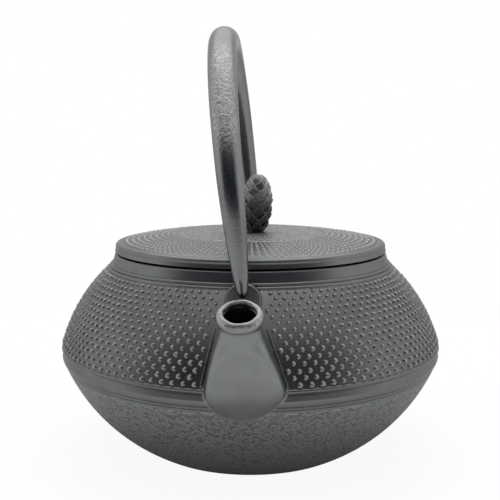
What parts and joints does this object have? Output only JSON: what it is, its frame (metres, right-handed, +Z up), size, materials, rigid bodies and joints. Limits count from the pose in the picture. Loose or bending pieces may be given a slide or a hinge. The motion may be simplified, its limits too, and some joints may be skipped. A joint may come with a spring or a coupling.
{
  "type": "cast iron teapot",
  "caption": "Low round cast iron teapot with a dotted shoulder, stub spout, swinging bail handle, lift-off lid with a pine cone knob and a lift-out leaf strainer.",
  "frame": {"origin": "centre of the flat base, on the surface the pot stands on", "axes": "+Z up, the spout pours towards -Y, +X to the right seen from the spout's side"},
  "size_m": [0.177, 0.1936, 0.1941],
  "materials": {
    "pot_iron": "satin black lacquer on sand-cast iron, dotted above the waist and rough below it",
    "lid_iron": "satin black lacquer on sand-cast iron with a fine cast pattern",
    "knob_iron": "satin black lacquer on a small casting",
    "handle_iron": "satin black lacquer, slightly grainy on top",
    "washer_steel": "plain steel",
    "strainer_steel": "fine perforated stainless sheet"
  },
  "bodies": {
    "pot": {"pot_belly": "pot_iron", "pot_shoulder": "pot_iron", "spout": "pot_iron"},
    "lid": {"lid": "lid_iron", "knob_washer": "washer_steel"},
    "knob": {"lid_knob": "knob_iron"},
    "bail": {"handle": "handle_iron"},
    "strainer": {"strainer_rim": "strainer_steel", "strainer_wall": "strainer_steel", "strainer_floor": "strainer_steel"}
  },
  "joints": [
    {"name": "handle_swing", "type": "hinge", "parent": "pot", "child": "bail", "pos_m": [0, 0, 0.0842], "axis": [0, 1, 0], "range_deg": [-94, 106]},
    {"name": "lid_lift", "type": "slide", "parent": "pot", "child": "lid", "axis": [0, 0, 1], "range_m": [0, 0.04]},
    {"name": "knob_spin", "type": "hinge", "parent": "lid", "child": "knob", "pos_m": [0.002, 0, 0.1], "axis": [0, 0, 1], "continuous": true},
    {"name": "strainer_lift", "type": "slide", "parent": "pot", "child": "strainer", "axis": [0, 0, 1], "range_m": [0, 0.02]}
  ],
  "couplings": [
    {"joint": "strainer_lift", "follows": "lid_lift", "ratio": 0.5}
  ]
}
